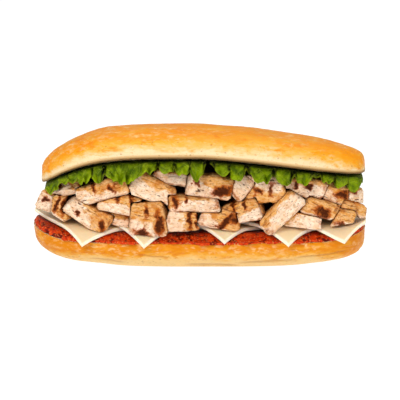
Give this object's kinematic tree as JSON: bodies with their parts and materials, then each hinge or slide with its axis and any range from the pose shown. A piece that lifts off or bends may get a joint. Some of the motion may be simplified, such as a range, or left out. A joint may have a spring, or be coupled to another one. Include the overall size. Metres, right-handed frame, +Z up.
{
  "type": "submarine sandwich",
  "caption": "Submarine sandwich: a long split roll filled with grilled chicken pieces, ruffled lettuce, cheese slices and red sauce, open along both sides",
  "frame": {"origin": "centre of the bounding box in plan, at its lowest level, where the roll rests", "axes": "+X along the roll to the right of the pictured side, +Y away from that side, +Z up"},
  "size_m": [0.2056, 0.0862, 0.0868],
  "materials": {
    "crust_top": "golden brown bread crust, slightly waxy",
    "crust_base": "pale tan bread crust, matte",
    "tomato_sauce": "coarse wet red sauce",
    "cheese": "smooth pale cheese, satin",
    "chicken": "grilled chicken, pale fibrous cut faces and browned seared skin",
    "lettuce": "thin frilly green leaf, satin"
  },
  "bodies": {
    "root": {"bun_base": "crust_base", "bun_lid": "crust_top", "cheese_1": "cheese", "cheese_2": "cheese", "cheese_3": "cheese", "cheese_4": "cheese", "cheese_5": "cheese", "chicken_back_top": "chicken", "chicken_back_top_left": "chicken", "chicken_centre_low": "chicken", "chicken_centre_low_left": "chicken", "chicken_centre_right": "chicken", "chicken_end_left": "chicken", "chicken_end_right": "chicken", "chicken_end_right_low": "chicken", "chicken_far_1_1": "chicken", "chicken_far_1_2": "chicken", "chicken_far_1_3": "chicken", "chicken_far_1_4": "chicken", "chicken_far_1_5": "chicken", "chicken_far_1_6": "chicken", "chicken_far_2_1": "chicken", "chicken_far_2_2": "chicken", "chicken_far_2_3": "chicken", "chicken_far_2_4": "chicken", "chicken_far_2_5": "chicken", "chicken_far_2_6": "chicken", "chicken_far_3_1": "chicken", "chicken_far_3_2": "chicken", "chicken_far_3_3": "chicken", "chicken_far_3_4": "chicken", "chicken_far_3_5": "chicken", "chicken_left_browned": "chicken", "chicken_left_low": "chicken", "chicken_left_mid": "chicken", "chicken_low_right": "chicken", "chicken_low_small": "chicken", "chicken_right_low": "chicken", "chicken_right_low_inner": "chicken", "chicken_right_mid": "chicken", "chicken_right_small": "chicken", "chicken_round": "chicken", "chicken_steep_front": "chicken", "chicken_strip_front": "chicken", "chicken_top_centre": "chicken", "chicken_top_end_left": "chicken", "chicken_top_left": "chicken", "chicken_top_mid_left": "chicken", "chicken_top_mid_right": "chicken", "chicken_top_right": "chicken", "chicken_top_right_inner": "chicken", "chicken_top_wedge": "chicken", "lettuce_far_left": "lettuce", "lettuce_far_right": "lettuce", "lettuce_front_left": "lettuce", "lettuce_front_right": "lettuce", "sauce": "tomato_sauce"}
  },
  "joints": []
}
